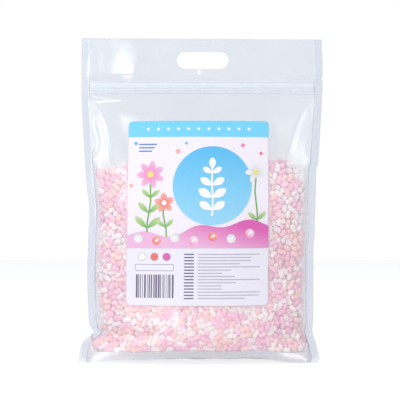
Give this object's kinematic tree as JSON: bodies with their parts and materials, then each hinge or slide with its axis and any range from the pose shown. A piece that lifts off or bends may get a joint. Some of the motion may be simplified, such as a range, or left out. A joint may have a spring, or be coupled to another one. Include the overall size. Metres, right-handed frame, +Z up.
{
  "type": "bag of paper bedding",
  "caption": "Frosted stand-up pouch of paper bedding pellets, with a zip, a hand hole in its header and a front sticker; for a pet cage or a storage shelf.",
  "frame": {"origin": "middle of the footprint, on the surface the pouch stands on", "axes": "+Z up to the header, +X to the right seen from the sticker, +Y to the back; the sticker faces -Y"},
  "size_m": [0.241, 0.0822, 0.324],
  "materials": {
    "film": "frosted clear film, soft gloss",
    "gusset_film": "frosted clear film, soft gloss",
    "zip_plastic": "milky clear extruded plastic",
    "label_paper": "printed sticker with a satin film finish",
    "paper_mixed": "pressed paper in white, pink and peach, matte",
    "paper_white": "pressed white paper, matte",
    "paper_pink": "pressed pink paper, matte",
    "paper_peach": "pressed peach paper, matte"
  },
  "bodies": {
    "root": {"front_panel": "film", "back_panel": "film", "bottom_gusset": "gusset_film", "zip_track_front": "zip_plastic", "zip_track_back": "zip_plastic", "front_label": "label_paper", "pellet_heap": "paper_mixed", "pellet_01": "paper_white", "pellet_02": "paper_peach", "pellet_03": "paper_pink", "pellet_04": "paper_white", "pellet_05": "paper_peach", "pellet_06": "paper_pink", "pellet_07": "paper_white", "pellet_08": "paper_peach", "pellet_09": "paper_pink", "pellet_10": "paper_pink", "pellet_11": "paper_white", "pellet_12": "paper_peach", "pellet_13": "paper_pink", "pellet_14": "paper_white", "pellet_15": "paper_peach", "pellet_16": "paper_pink", "pellet_17": "paper_white", "pellet_18": "paper_peach", "pellet_19": "paper_peach", "pellet_20": "paper_pink", "pellet_21": "paper_white", "pellet_22": "paper_peach", "pellet_23": "paper_pink", "pellet_24": "paper_white", "pellet_25": "paper_peach", "pellet_26": "paper_pink", "pellet_27": "paper_white"}
  },
  "joints": []
}
